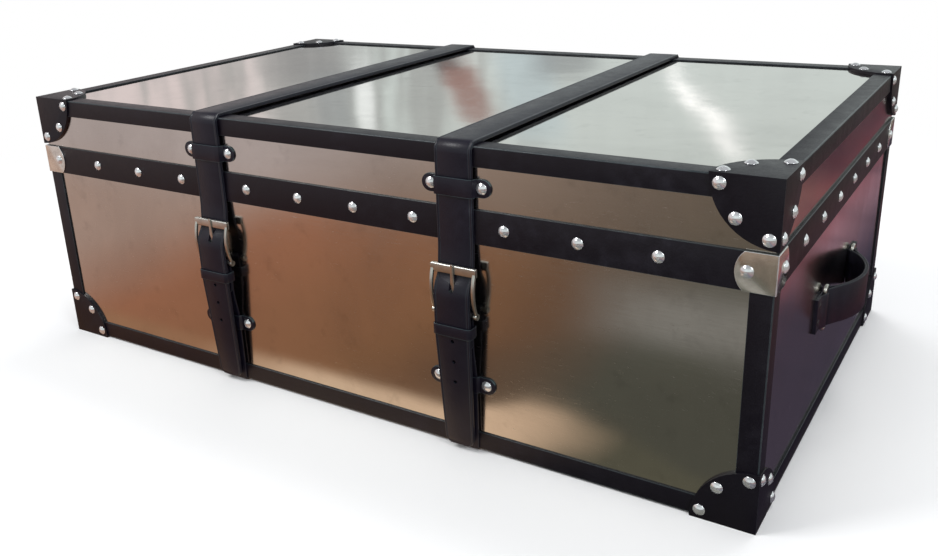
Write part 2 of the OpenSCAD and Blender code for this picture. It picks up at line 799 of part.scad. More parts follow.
module buckle_prong(x) {
    curl_r = heel_r + heel_gap + curl_t;
    lean = atan(prong_slope);
    color(chrome) translate([x, -face_y - heel_d, heel_z]) difference() {
        union() {
            rotate([0, 90, 0]) cylinder(r = curl_r, h = prong_w, center = true);
            rotate([lean, 0, 0])
                block([-prong_w / 2, -prong_t / 2, heel_r], [prong_w / 2, prong_t / 2, prong_l]);
        }
        rotate([0, 90, 0]) cylinder(r = heel_r + heel_gap / 2, h = prong_w + 2, center = true);
    }
}
module buckle_prong_left() { buckle_prong(-strap_x); }
module buckle_prong_right() { buckle_prong(strap_x); }

// ---- Handles ----

// A handle seen from above, as depth outside the end sheet along X.
handle_r = (pow(ring_y, 2) + pow(handle_bow, 2)) / (2 * handle_bow);
module handle_profile() {
    eye = ring_r + heel_gap + tab_t;
    difference() {
        union() {
            intersection() {
                translate([ring_d + handle_bow - handle_r, 0]) difference() {
                    circle(handle_r + handle_t / 2, $fn = 128);
                    circle(handle_r - handle_t / 2, $fn = 128);
                }
                translate([ring_d, -ring_y]) square([2 * handle_bow, 2 * ring_y]);
            }
            for (s = [-1, 1]) translate([ring_d, s * ring_y]) circle(eye);
        }
        for (s = [-1, 1]) translate([ring_d, s * ring_y]) circle(ring_r + heel_gap);
    }
}
module handle(side) {
    color(leather) translate([side * face_x, 0, handle_z - handle_w / 2])
        linear_extrude(handle_w) mirror([side < 0 ? 1 : 0, 0]) handle_profile();
}
module handle_left() { handle(-1); }
module handle_right() { handle(1); }

module ring_loop() {
    for (y = [0, ring_gap]) translate([0, y, -ring_z]) cylinder(r = ring_r, h = 2 * ring_z);
    for (z = [-ring_z, ring_z]) {
        translate([0, 0, z]) rotate([-90, 0, 0]) cylinder(r = ring_r, h = ring_gap);
        for (y = [0, ring_gap]) translate([0, y, z]) sphere(ring_r);
    }
}
module handle_rings() {
    color(chrome) at_corners() translate([face_x + ring_d, ring_y, handle_z]) ring_loop();
}
module handle_tabs() {
    bar_y = ring_y + ring_gap;
    hole = ring_r + heel_gap;
    color(leather) at_corners() translate([face_x, 0, handle_z - tab_h / 2]) linear_extrude(tab_h)
        difference() {
            union() {
                translate([ring_d, bar_y]) circle(hole + tab_t);
                translate([0, bar_y]) square([tab_thick, tab_l]);
            }
            translate([ring_d, bar_y]) circle(hole);
        }
}
module handle_rivets() {
    y = ring_y + ring_gap + tab_l * 0.62;
    color(leather) at_corners() for (s = [-1, 1])
        translate([face_x + tab_thick, y, handle_z + s * tab_h / 4]) rotate([0, 90, 0])
            cylinder(d = rivet_d, h = rivet_h);
}

// ---- Hinges ----

// The leaf on one side of the axis with its share of the knuckles; up is +1 for the lid's leaf.
module hinge_leaf(up) {
    first = up > 0 ? 1 : 0;
    color(chrome) translate([0, axis_y, axis_z]) difference() {
        union() {
            block([-hinge_w / 2, face_y - axis_y, 0], [hinge_w / 2, face_y - axis_y + leaf_t, up * leaf_h]);
            for (i = [first:2:knuckles - 1])
                translate([(i - knuckles / 2) * knuckle_w, 0, 0]) rotate([0, 90, 0])
                    translate([0, 0, knuckle_gap / 2]) cylinder(r = knuckle_r, h = knuckle_w - knuckle_gap);
        }
        for (i = [1 - first:2:knuckles - 1])
            block([(i - knuckles / 2) * knuckle_w - knuckle_gap / 2, -knuckle_r - 2, -knuckle_r - 0.5],
                [(i + 1 - knuckles / 2) * knuckle_w + knuckle_gap / 2, knuckle_r + 1, knuckle_r + 0.5]);
        rotate([0, 90, 0]) cylinder(r = pin_r + pin_gap, h = hinge_w + 2, center = true);
    }
}
module hinge_case_leaves() {
    for (x = hinge_xs) translate([x, 0, 0]) hinge_leaf(-1);
}
module hinge_lid_leaves() {
    for (x = hinge_xs) translate([x, 0, 0]) hinge_leaf(1);
}
module hinge_pins() {
    color(chrome) for (x = hinge_xs) translate([x, axis_y, axis_z]) rotate([0, 90, 0]) {
        cylinder(r = pin_r, h = hinge_w + 2 * knuckle_gap, center = true);
        for (m = [0, 1]) mirror([0, 0, m]) translate([0, 0, hinge_w / 2 + knuckle_gap])
            cylinder(r = knuckle_r - pin_head_in, h = pin_head);
    }
}
module hinge_screws(up) {
    color(chrome) for (x = hinge_xs, s = [-1, 0, 1])
        translate([x + s * screw_x, face_y + leaf_t, axis_z + up * screw_z]) rotate([-90, 0, 0])
            cylinder(d = screw_d, h = screw_h);
}
module hinge_case_screws() { hinge_screws(-1); }
module hinge_lid_screws() { hinge_screws(1); }

case_floor_board();
case_front_board();
case_back_board();
case_end_boards();
case_lip();
case_bottom_sheet();
case_front_sheet();
case_back_sheet();
case_end_sheets();
case_lining();
case_bottom_bindings();
case_corner_bindings();
case_corner_caps();
case_cap_nails();
lower_loops();
lower_loop_nails();
chape_left();
chape_right();
keepers();
buckle_frame_left();
buckle_frame_right();
buckle_prong_left();
buckle_prong_right();
handle_left();
handle_right();
handle_rings();
handle_tabs();
handle_rivets();
hinge_case_leaves();
hinge_case_screws();
hinge_pins();
hinge_lid_leaves();
hinge_lid_screws();
lid_top_board();
lid_front_board();
lid_back_board();
lid_end_boards();
lid_top_sheet();
lid_front_sheet();
lid_back_sheet();
lid_end_sheets();
lid_lining();
lid_bindings();
lid_corner_caps();
lid_cap_nails();
band_front();
band_back();
band_ends();
band_nails();
corner_clips();
upper_loops();
upper_loop_nails();
strap_left();
strap_right();
strap_anchor_nails();
strap_tail_left();
strap_tail_right();
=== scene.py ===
import json
from math import atan2, cos, pi, radians, sin, sqrt, tan

import bmesh
import bpy
from mathutils import Matrix, Vector

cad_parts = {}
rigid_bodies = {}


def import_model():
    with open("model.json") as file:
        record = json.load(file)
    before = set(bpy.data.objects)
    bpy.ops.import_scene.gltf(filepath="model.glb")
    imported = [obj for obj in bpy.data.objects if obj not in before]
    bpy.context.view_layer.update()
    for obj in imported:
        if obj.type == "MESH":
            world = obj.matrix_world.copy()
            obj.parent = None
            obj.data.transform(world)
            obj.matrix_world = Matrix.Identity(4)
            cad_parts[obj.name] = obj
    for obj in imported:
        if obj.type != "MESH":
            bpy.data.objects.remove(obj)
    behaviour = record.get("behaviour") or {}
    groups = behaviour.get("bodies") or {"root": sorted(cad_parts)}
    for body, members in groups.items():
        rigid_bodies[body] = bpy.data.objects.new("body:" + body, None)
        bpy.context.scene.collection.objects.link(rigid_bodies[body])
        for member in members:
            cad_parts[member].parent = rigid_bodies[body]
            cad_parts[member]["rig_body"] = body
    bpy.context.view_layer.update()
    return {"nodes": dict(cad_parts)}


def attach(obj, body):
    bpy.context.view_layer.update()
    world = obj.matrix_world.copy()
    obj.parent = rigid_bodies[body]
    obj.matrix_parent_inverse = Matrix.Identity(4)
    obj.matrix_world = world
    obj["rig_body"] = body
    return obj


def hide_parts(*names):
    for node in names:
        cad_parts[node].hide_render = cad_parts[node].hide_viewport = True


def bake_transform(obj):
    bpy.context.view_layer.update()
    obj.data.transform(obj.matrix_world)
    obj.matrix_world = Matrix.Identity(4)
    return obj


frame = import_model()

MM = 0.001
NODES = frame["nodes"]
scene = bpy.context.scene
X, Z = Vector((1, 0, 0)), Vector((0, 0, 1))

# Where the CAD has its faces, straps and fittings, in millimetres.
FACE_X, FACE_Y = 504.0, 301.0
SEAM_Z, TAIL_DROP = 249.0, 6.0
UPPER_LOOP_Z, LOWER_LOOP_Z = 310.0, 84.0
STRAP_X = 179.0
STRAP_W, STRAP_T = 44.0, 4.5
STRAP_IN, STRAP_TOP = 2.5, 354.0
HEEL_D, HEEL_Z = 11.2, 170.0
BAR_D, BAR_Z, BAR_H, BAR_T = 10.5, 220.0, 10.0, 4.0
BUCKLE_W = 56.0


# ---- Meshes ----

def new_piece(name, verts, faces, scale=MM):
    mesh = bpy.data.meshes.new(name)
    mesh.from_pydata([tuple(Vector(v) * scale) for v in verts], [], faces)
    mesh.validate()
    bm = bmesh.new()
    bm.from_mesh(mesh)
    bmesh.ops.recalc_face_normals(bm, faces=bm.faces)
    bm.to_mesh(mesh)
    bm.free()
    obj = bpy.data.objects.new(name, mesh)
    scene.collection.objects.link(obj)
    return obj


def joined(parts):
    """Puts several (verts, faces) pairs into one."""
    verts, faces = [], []
    for v, f in parts:
        base = len(verts)
        verts += v
        faces += [tuple(i + base for i in face) for face in f]
    return verts, faces


def smooth(obj, angle=38):
    obj.data.polygons.foreach_set("use_smooth", [True] * len(obj.data.polygons))
    obj.data.set_sharp_from_angle(angle=radians(angle))
    return obj


def edged(obj, axis):
    """Gives the rounded corners along a strip's edges the second material, a lighter leather that is a
    painted edge highlight; axis runs across the strip.
    """
    for face in obj.data.polygons:
        if 0.3 < abs(face.normal.dot(axis)) < 0.9:
            face.material_index = 1
    return obj


def baked(obj):
    """Applies the object's modifiers to its mesh."""
    bpy.context.view_layer.update()
    graph = bpy.context.evaluated_depsgraph_get()
    mesh = bpy.data.meshes.new_from_object(obj.evaluated_get(graph))
    obj.modifiers.clear()
    obj.data = mesh
    return obj


def fit_out(obj, body, slot, materials, *replaced):
    """Gives a piece its materials, its body and the CAD nodes that it stands for."""
    if not isinstance(materials, (list, tuple)):
        materials = [materials]
    if len(obj.data.materials) == 0:
        for m in materials:
            obj.data.materials.append(m)
    else:
        for i, m in enumerate(materials):
            obj.data.materials[i] = m
    if body:
        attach(obj, body)
    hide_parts(*replaced)
    return obj


def face_width(face):
    return face.calc_area() / max(e.calc_length() for e in face.edges)


def softened(node, slot, materials, width, ridge=None):
    """A copy of a CAD node with rounded edges: ridge is the rounding where two broad faces meet."""
    source = NODES[node]
    ridge = ridge or width
    bm = bmesh.new()
    bm.from_mesh(source.data)
    bmesh.ops.remove_doubles(bm, verts=bm.verts, dist=2e-6)
    bmesh.ops.dissolve_limit(bm, angle_limit=radians(0.6), verts=bm.verts, edges=bm.edges)
    weight = bm.edges.layers.float.new("bevel_weight_edge")
    for e in bm.edges:
        if len(e.link_faces) != 2 or e.calc_face_angle(0) < radians(26):
            continue
        broad = e.is_convex and all(face_width(f) > 6 * MM for f in e.link_faces)
        e[weight] = 1.0 if broad else width / ridge
    mesh = bpy.data.meshes.new(node + "_soft")
    bm.to_mesh(mesh)
    bm.free()
    obj = bpy.data.objects.new(node + "_soft", mesh)
    scene.collection.objects.link(obj)
    mesh.polygons.foreach_set("use_smooth", [True] * len(mesh.polygons))
    for _ in materials:
        mesh.materials.append(None)
    bevel = obj.modifiers.new("round", "BEVEL")
    bevel.limit_method = "WEIGHT"
    bevel.width = ridge * MM
    bevel.segments = 3
    bevel.harden_normals = True
    # The bevel faces take the last material: for the leather trim, the lighter edge leather that is a painted
    # edge highlight.
    bevel.material = len(materials) - 1
    baked(obj)
    return fit_out(obj, source["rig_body"], slot, materials, node)


def islands(node):
    """The loose parts of a CAD node, each as a list of points."""
    bm = bmesh.new()
    bm.from_mesh(NODES[node].data)
    bmesh.ops.remove_doubles(bm, verts=bm.verts, dist=2e-6)
    left, found = set(bm.verts), []
    while left:
        stack, part = [left.pop()], []
        while stack:
            v = stack.pop()
            part.append(v.co / MM)
            for e in v.link_edges:
                w = e.other_vert(v)
                if w in left:
                    left.discard(w)
                    stack.append(w)
        found.append(part)
    bm.free()
    return sorted(found, key=lambda p: tuple(round(c, 2) for c in p_mean(p)))


def p_mean(points):
    return sum(points, Vector()) / len(points)


def heads(node, long_shank):
    """Centre and outward direction of each nail, screw or rivet of a node."""
    found = []
    for part in islands(node):
        low = [min(p[i] for p in part) for i in range(3)]
        high = [max(p[i] for p in part) for i in range(3)]
        axis = min(range(3), key=lambda i: high[i] - low[i])
        mid = [(a + b) / 2 for a, b in zip(low, high)]
        if long_shank:
            reach = [sqrt(sum((p[i] - mid[i]) ** 2 for i in range(3) if i != axis)) for p in part]
            rim = [p[axis] for p, r in zip(part, reach) if r > 0.97 * max(reach)]
            base = sum(rim) / len(rim)
            side = 1 if high[axis] - base < base - low[axis] else -1
        else:
            side = 1 if axis == 2 or mid[axis] > 0 else -1
            base = low[axis] if side > 0 else high[axis]
        centre = Vector(mid)
        centre[axis] = base
        out = Vector((0, 0, 0))
        out[axis] = side
        found.append((centre, out))
    return found


def lathe(profile, n=28):
    """A solid of revolution round Z; the profile runs from its rim at the base up to the axis."""
    verts = [(r * cos(2 * pi * i / n), r * sin(2 * pi * i / n), z)
             for r, z in profile[:-1] for i in range(n)]
    verts.append((0, 0, profile[-1][1]))
    faces = []
    for k in range(len(profile) - 2):
        for i in range(n):
            a, b = k * n + i, k * n + (i + 1) % n
            faces.append((a, b, b + n, a + n))
    last = (len(profile) - 2) * n
    faces += [(last + i, last + (i + 1) % n, len(verts) - 1) for i in range(n)]
    faces.append(tuple(reversed(range(n))))
    return verts, faces


def stood(shape, centre, out, turn=0.0):
    """Moves a shape that stands on z = 0 to a centre, pointing outwards."""
    matrix = Matrix.Translation(centre) @ out.to_track_quat("Z", "Y").to_matrix().to_4x4()
    matrix = matrix @ Matrix.Rotation(turn, 4, "Z")
    return [matrix @ Vector(v) for v in shape[0]], shape[1]


def nails(node, slot, material, shape, long_shank=True, turn=0.0):
    parts = [stood(shape, c, o, turn * ((i * 37) % 11)) for i, (c, o) in enumerate(heads(node, long_shank))]
    obj = smooth(new_piece(node + "_heads", *joined(parts)), 50)
    return fit_out(obj, NODES[node]["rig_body"], slot, material, node)


class Line:
    """A polyline that can be asked for the point and direction at a length along it."""

    def __init__(self, points, closed=False):
        self.p = [Vector(p) for p in points]
        if closed:
            self.p.append(self.p[0])
        self.closed = closed
        self.s = [0.0]
        for a, b in zip(self.p, self.p[1:]):
            self.s.append(self.s[-1] + (b - a).length)
        self.length = self.s[-1]

    def at(self, s):
        if self.closed:
            s %= self.length
        s = min(max(s, 0.0), self.length)
        low, high = 0, len(self.s) - 1
        while high - low > 1:
            mid = (low + high) // 2
            if self.s[mid] <= s:
                low = mid
            else:
                high = mid
        span = self.s[high] - self.s[low]
        return self.p[low].lerp(self.p[high], (s - self.s[low]) / span if span else 0)

    def direction(self, s, step=0.4):
        if not self.closed:
            s = min(max(s, step), self.length - step)
        return (self.at(s + step) - self.at(s - step)).normalized()


def filleted(points, radius, n=7):
    """A polyline in a plane with its corners turned into arcs; radius is one number or a list."""
    pts = [Vector(p) for p in points]
    radii = radius if isinstance(radius, (list, tuple)) else [radius] * (len(pts) - 2)
    out = [pts[0]]
    for a, b, c, r in zip(pts, pts[1:], pts[2:], radii):
        u, v = (a - b).normalized(), (c - b).normalized()
        half = u.angle(v) / 2
        reach = min(r / tan(half), 0.49 * min((a - b).length, (c - b).length))
        r = reach * tan(half)
        centre = b + (u + v).normalized() * (r / sin(half))
        start, end = b + u * reach - centre, b + v * reach - centre
        sweep_angle = start.angle(end)
        for i in range(n + 1):
            t = i / n
            k = sin(sweep_angle)
            out.append(centre + start * (sin((1 - t) * sweep_angle) / k) + end * (sin(t * sweep_angle) / k))
    out.append(pts[-1])
    return out


def swept(line, side, section, step=6.0, rounded=(0, 0), scale=None):
    """Sweeps a section along a line. Its first number runs along side, its second outwards."""
    count = max(2, int(line.length / step))
    if line.closed:
        stations = [line.length * i / count for i in range(count)]
    else:
        stations = {line.length * i / count for i in range(count + 1)}
        for r, base, sign in ((rounded[0], 0, 1), (rounded[1], line.length, -1)):
            if r:
                stations = {s for s in stations if (s - base) * sign > r or s == base}
                stations |= {base + sign * r * (1 - cos(pi / 2 * i / 8)) for i in range(1, 9)}
        stations = sorted(stations)
    half = max(u for u, _ in section)
    verts, faces = [], []
    for s in stations:
        point, out = line.at(s), line.direction(s).cross(side)
        width = 1.0
        for r, e in ((rounded[0], s), (rounded[1], line.length - s)):
            if r and e < r:
                width = min(width, (half - r + sqrt(max(0.0, r * r - (r - e) ** 2))) / half)
        width = max(width, 0.02) * (scale(s) if scale else 1.0)
        verts += [point + side * (u * width) + out * v for u, v in section]
    n, rings = len(section), len(stations)
    for k in range(rings if line.closed else rings - 1):
        a, b = k * n, (k + 1) % rings * n
        faces += [(a + i, a + (i + 1) % n, b + (i + 1) % n, b + i) for i in range(n)]
    if not line.closed:
        faces += [tuple(reversed(range(n))), tuple(range((rings - 1) * n, rings * n))]
    return verts, faces


def strip(w, t, r=0.6, layers=1, crease=0.0, low=None):
    """The cross-section of a leather strip: u across it, v from its inner face outwards."""
    low = -t / 2 if low is None else low
    h = w / 2
    side = [(h - r, 0), (h - 0.3 * r, 0.3 * r), (h, r)]
    if layers == 2:
        g = 0.35
        side += [(h, t / 2 - g), (h - 1.3 * g, t / 2), (h, t / 2 + g)]
    side += [(h, t - r), (h - 0.3 * r, t - 0.3 * r), (h - r, t)]
    if crease:
        side += [(h - crease + 0.5, t), (h - crease, t - 0.28), (h - crease - 0.5, t)]
    outline = side + [(-u, v) for u, v in reversed(side)]
    return [(u, v + low) for u, v in outline]


def round_bar(r, n=14):
    return [(r * cos(2 * pi * i / n), r * sin(2 * pi * i / n)) for i in range(n)]


def arc(centre, r, a0, a1, n=14):
    """Points of an arc in a plane, from angle a0 to a1 in degrees."""
    return [(centre[0] + r * cos(radians(a0 + (a1 - a0) * i / n)),
             centre[1] + r * sin(radians(a0 + (a1 - a0) * i / n))) for i in range(n + 1)]


def front(points, x=0.0):
    """Points given as depth in front of the front sheet and height, placed at x."""
    return [(x, -FACE_Y - d, z) for d, z in points]


def cut(obj, cutters):
    """Cuts (verts, faces) shapes out of a piece."""
    tool = new_piece("cutter", *joined(cutters))
    mod = obj.modifiers.new("cut", "BOOLEAN")
    mod.operation = "DIFFERENCE"
    mod.solver = "EXACT"
    mod.object = tool
    baked(obj)
    bpy.data.objects.remove(tool)
    return obj


def slot_tool(x, d0, d1, z, w, h):
    """A prism through the strap: a slot of width w and height h with round ends."""
    r = w / 2
    rise = max(h / 2 - r, 0.0)
    ring = arc((0, rise), r, 0, 180, 10) + arc((0, -rise), r, 180, 360, 10)
    if rise == 0:
        ring = arc((0, 0), r, 0, 345, 23)
    n = len(ring)
    verts = [(x + u, -FACE_Y - d, z + v) for d in (d0, d1) for u, v in ring]
    faces = [(i, (i + 1) % n, n + (i + 1) % n, n + i) for i in range(n)]
    faces += [tuple(range(n)), tuple(reversed(range(n, 2 * n)))]
    return verts, faces


# ---- Materials ----

class Shade:
    """Adds nodes to a tree and links them."""

    def __init__(self, tree):
        self.tree = tree
        tree.nodes.clear()

    def put(self, socket, value):
        if isinstance(value, bpy.types.Node):
            value = value.outputs[0]
        if isinstance(value, bpy.types.NodeSocket):
            self.tree.links.new(value, socket)
        elif isinstance(value, tuple) and len(value) == 3 and socket.type == "RGBA":
            socket.default_value = (*value, 1.0)
        else:
            socket.default_value = value

    def add(self, kind, values=None, **settings):
        node = self.tree.nodes.new("ShaderNode" + kind)
        for name, value in settings.items():
            setattr(node, name, value)
        for key, value in (values or {}).items():
            self.put(node.inputs[key], value)
        return node

    def where(self, scale=(1, 1, 1), source="Object"):
        out = self.add("TexCoord").outputs[source]
        if tuple(scale) == (1, 1, 1):
            return out
        return self.add("Mapping", {"Vector": out, "Scale": scale}).outputs[0]

    def noise(self, scale, detail=3.0, rough=0.5, stretch=(1, 1, 1), distortion=0.0, source="Object"):
        values = {"Vector": self.where(stretch, source), "Scale": scale, "Detail": detail,
                  "Roughness": rough, "Distortion": distortion}
        return self.add("TexNoise", values).outputs["Fac"]

    def cells(self, scale, feature="F1"):
        values = {"Vector": self.where(), "Scale": scale}
        return self.add("TexVoronoi", values, feature=feature).outputs["Distance"]

    def ramp(self, fac, *stops):
        """Stops are (place, value) with a grey value or a colour."""
        node = self.add("ValToRGB", {"Fac": fac})
        elements = node.color_ramp.elements
        while len(elements) < len(stops):
            elements.new(0.5)
        for e, (place, value) in zip(elements, stops):
            e.position = place
            e.color = (*value, 1) if isinstance(value, tuple) else (value, value, value, 1)
        return node.outputs["Color"]

    def mix(self, fac, a, b, blend="MIX"):
        node = self.add("Mix", data_type="RGBA", blend_type=blend)
        self.put(node.inputs[0], fac)
        self.put(node.inputs[6], a)
        self.put(node.inputs[7], b)
        return node.outputs[2]

    def math(self, op, a, b=0.0):
        node = self.add("Math", operation=op)
        self.put(node.inputs[0], a)
        self.put(node.inputs[1], b)
        return node.outputs[0]

    def between(self, value, a, b, lo=0.0, hi=1.0, soft=True):
        node = self.add("MapRange", {"Value": value}, interpolation_type="SMOOTHSTEP" if soft else "LINEAR")
        for i, v in enumerate((a, b, lo, hi)):
            self.put(node.inputs[i + 1], v)
        return node.outputs[0]

    def bump(self, height, distance, strength=1.0, under=None):
        values = {"Height": height, "Distance": distance, "Strength": strength}
        if under is not None:
            values["Normal"] = under
        return self.add("Bump", values).outputs[0]

    def split(self, source="Object"):
        return self.add("SeparateXYZ", {"Vector": self.where(source=source)}).outputs


def surface(name, build):
    """A material whose Principled shader is filled in by build(shade), which returns its inputs."""
    mat = bpy.data.materials.new(name)
    mat.use_nodes = True
    shade = Shade(mat.node_tree)
    bsdf = shade.add("BsdfPrincipled", build(shade))
    out = shade.add("OutputMaterial", {"Surface": bsdf.outputs[0]})
    out.is_active_output = True
    return mat


def leather(name, dark, light, rough, grain=0.00012, crease=0.00035):
    """Near-black leather: pebble grain, soft creases, and rubbed patches."""
    def build(s):
        patches = s.noise(9, 5, 0.6)
        rub = s.noise(60, 6, 0.65)
        wear = s.math("MULTIPLY", s.between(patches, 0.4, 0.75), s.between(rub, 0.35, 0.8))
        pebble = s.cells(620, feature="SMOOTH_F1")
        low = s.noise(45, 4, 0.55, distortion=0.4)
        fine = s.noise(900, 2)
        base = s.bump(low, crease, 0.7)
        mid = s.bump(pebble, grain, 0.8, base)
        return {
            "Base Color": s.mix(wear, dark, light),
            "Roughness": s.between(s.math("ADD", s.math("MULTIPLY", rub, 0.5), s.math("MULTIPLY", fine, 0.5)),
                                   0.25, 0.75, rough - 0.07, rough + 0.12),
            "Specular IOR Level": 0.28,
            "Coat Weight": 0.06, "Coat Roughness": 0.3,
            "Normal": s.bump(fine, grain * 0.5, 0.5, mid),
        }
    return surface(name, build)


def polished(name, colour, rough, spots=0.06, wave=0.00006, metal=1.0):
    """Plated metal with faint clouding and fine scratches."""
    def build(s):
        cloud = s.noise(70, 5, 0.6)
        scratch = s.noise(60, 4, 0.6, stretch=(1, 14, 3))
        tint = s.between(cloud, 0.35, 0.8)
        dull = tuple(c * 0.72 for c in colour)
        return {
            "Base Color": s.mix(tint, colour, dull),
            "Metallic": metal,
            "Roughness": s.between(s.math("ADD", cloud, s.math("MULTIPLY", scratch, 0.4)), 0.4, 1.0,
                                   rough, rough + spots),
            "Normal": s.bump(cloud, wave, 0.6),
        }
    return surface(name, build)


def sheet_build(tint, rough):
    """Rolled sheet metal: grain along the trunk, soft waves, wiped smudges and small scratches."""
    def build(s):
        grain = s.noise(26, 5, 0.7, stretch=(1, 24, 24))
        smudge = s.noise(4.5, 5, 0.6, distortion=0.6)
        spots = s.noise(38, 4, 0.6)
        waves = s.noise(3.2, 2, 0.45)
        dents = s.noise(11, 2, 0.4)
        scratch = s.between(s.noise(85, 3, 0.6, stretch=(1, 9, 9), distortion=1.5), 0.66, 0.72)
        colour = s.mix(s.between(smudge, 0.35, 0.75), tint, tuple(c * 0.84 for c in tint))
        colour = s.mix(s.math("MULTIPLY", s.between(spots, 0.55, 0.8), 0.35), colour,
                       tuple(c * 0.6 for c in tint))
        roughness = s.between(s.math("ADD", s.math("MULTIPLY", smudge, 0.6), s.math("MULTIPLY", grain, 0.4)),
                              0.3, 0.75, rough * 0.8, rough * 1.7)
        lift = s.bump(waves, 0.0022, 0.5)
        lift = s.bump(dents, 0.0003, 0.5, lift)
        lift = s.bump(grain, 0.00003, 0.5, lift)
        return {
            "Base Color": colour, "Metallic": 1.0,
            "Roughness": s.math("ADD", roughness, s.math("MULTIPLY", scratch, 0.12)),
            "Normal": s.bump(scratch, 0.00002, 0.5, lift),
        }
    return build


def ply_build(axis):
    """Plywood seen on its edges: thin plies along one axis, with grain."""
    def build(s):
        across = s.split()[axis]
        ply = s.math("PINGPONG", across, 1.8 * MM)
        line = s.between(ply, 0.7 * MM, 1.1 * MM)
        grain = s.noise(30, 5, 0.7, stretch=(1, 6, 6) if axis else (6, 1, 6))
        wood = s.mix(s.between(grain, 0.3, 0.75), (0.40, 0.255, 0.13), (0.26, 0.155, 0.075))
        return {
            "Base Color": s.mix(s.math("MULTIPLY", line, 0.55), wood, (0.15, 0.085, 0.04)),
            "Roughness": s.between(grain, 0.2, 0.8, 0.55, 0.75),
            "Normal": s.bump(s.math("ADD", grain, line), 0.0002, 0.5),
        }
    return build


THREAD = 1.6 * MM


def cloth_build(s):
    """Cotton lining with a plain weave, a broad woven stripe and light soiling."""
    x, y, z = s.split()
    along = s.math("ADD", x, y)
    warp = s.math("SINE", s.math("MULTIPLY", along, 2 * pi / THREAD))
    down = s.math("SUBTRACT", z, s.math("MULTIPLY", y, 0.37))
    weft = s.math("SINE", s.math("MULTIPLY", down, 2 * pi / THREAD))
    weave = s.math("MULTIPLY", warp, weft)
    stripe = s.between(s.math("PINGPONG", along, 22 * MM), 9 * MM, 11 * MM)
    soil = s.noise(7, 5, 0.65)
    colour = s.mix(stripe, (0.23, 0.165, 0.105), (0.36, 0.29, 0.20))
    return {
        "Base Color": s.mix(s.between(soil, 0.4, 0.8, 0, 0.4), colour, (0.12, 0.085, 0.055)),
        "Roughness": s.between(weave, -1, 1, 0.8, 0.95),
        "Sheen Weight": 0.15,
        "Normal": s.bump(weave, 0.00018, 0.7),
    }


TRIM = leather("trim_leather", (0.0035, 0.0022, 0.0060), (0.011, 0.009, 0.016), 0.40)
# The trim's edge leather is lighter and bluer than the trim itself: that colour is a painted highlight along
# the rounded edges.
TRIM_EDGE_HIGHLIGHT = leather("trim_edge_painted_highlight", (0.020, 0.027, 0.031), (0.055, 0.066, 0.072), 0.30)
STRAP = leather("strap_leather", (0.0052, 0.0042, 0.0105), (0.016, 0.014, 0.026), 0.38)
# The strap and loop edge leathers are lighter too: a painted highlight along the rounded edges of straps,
# loops, keepers, chapes and handles.
STRAP_EDGE_HIGHLIGHT = leather("strap_edge_painted_highlight", (0.014, 0.018, 0.024), (0.04, 0.05, 0.06), 0.32)
LOOP_EDGE_HIGHLIGHT = leather("loop_edge_painted_highlight", (0.035, 0.055, 0.06), (0.10, 0.14, 0.15), 0.30)
BELTED = (STRAP, STRAP_EDGE_HIGHLIGHT)
LOOPED = (STRAP, LOOP_EDGE_HIGHLIGHT)
CHROME = polished("nail_chrome", (0.84, 0.85, 0.87), 0.07, metal=0.80)
CLIP = polished("clip_nickel", (0.88, 0.85, 0.78), 0.09, 0.05, 0.0001, 0.96)
NICKEL = polished("buckle_nickel", (0.60, 0.59, 0.55), 0.27)
HINGE = polished("hinge_steel", (0.50, 0.48, 0.45), 0.26, 0.12)
RIVET = leather("rivet_lacquer", (0.010, 0.010, 0.012), (0.03, 0.03, 0.035), 0.22, 0.00003, 0.0001)
SHEET = surface("sheet_metal", sheet_build((0.66, 0.635, 0.60), 0.13))
TOP_SHEET = surface("top_sheet_metal", sheet_build((0.66, 0.635, 0.60), 0.05))
CLOTH = surface("lining_cloth", cloth_build)
PLIES = [surface("plywood_" + "xyz"[i], ply_build(i)) for i in range(3)]


# ---- CAD nodes that keep their shape ----

def finish_node(name, material):
    obj = NODES[name]
    if len(obj.data.materials) == 0:
        obj.data.materials.append(material)
    for place in obj.material_slots:
        place.material = material


for part in ("case_bottom", "case_front", "case_back", "case_end",
             "lid_top", "lid_front", "lid_back", "lid_end"):
    ending = "_sheets" if part.endswith("end") else "_sheet"
    finish_node(part + ending, TOP_SHEET if part == "lid_top" else SHEET)
for name, axis in (("case_floor_board", 2), ("case_front_board", 1), ("case_back_board", 1),
                   ("case_end_boards", 0), ("case_lip", 2), ("lid_top_board", 2),
                   ("lid_front_board", 1), ("lid_back_board", 1), ("lid_end_boards", 0)):
    finish_node(name, PLIES[axis])
finish_node("case_lining", CLOTH)
finish_node("lid_lining", CLOTH)
finish_node("hinge_pins", HINGE)

# ---- Leather trim ----

EDGED = (TRIM, TRIM_EDGE_HIGHLIGHT)
for node, width, ridge in (("case_bottom_bindings", 0.5, 1.4), ("case_corner_bindings", 0.5, 1.4),
                           ("lid_bindings", 0.5, 1.4), ("case_corner_caps", 0.7, 2.2),
                           ("lid_corner_caps", 0.7, 2.2), ("band_front", 0.5, 0.9),
                           ("band_back", 0.5, 0.9), ("band_ends", 0.5, 0.9)):
    softened(node, "trim_leather", EDGED, width, ridge)

# ---- Metal fittings ----

softened("corner_clips", "nickel", (CLIP, CHROME), 0.35, 0.9)
softened("hinge_case_leaves", "hinge_steel", (HINGE, HINGE), 0.3)
softened("hinge_lid_leaves", "hinge_steel", (HINGE, HINGE), 0.3)

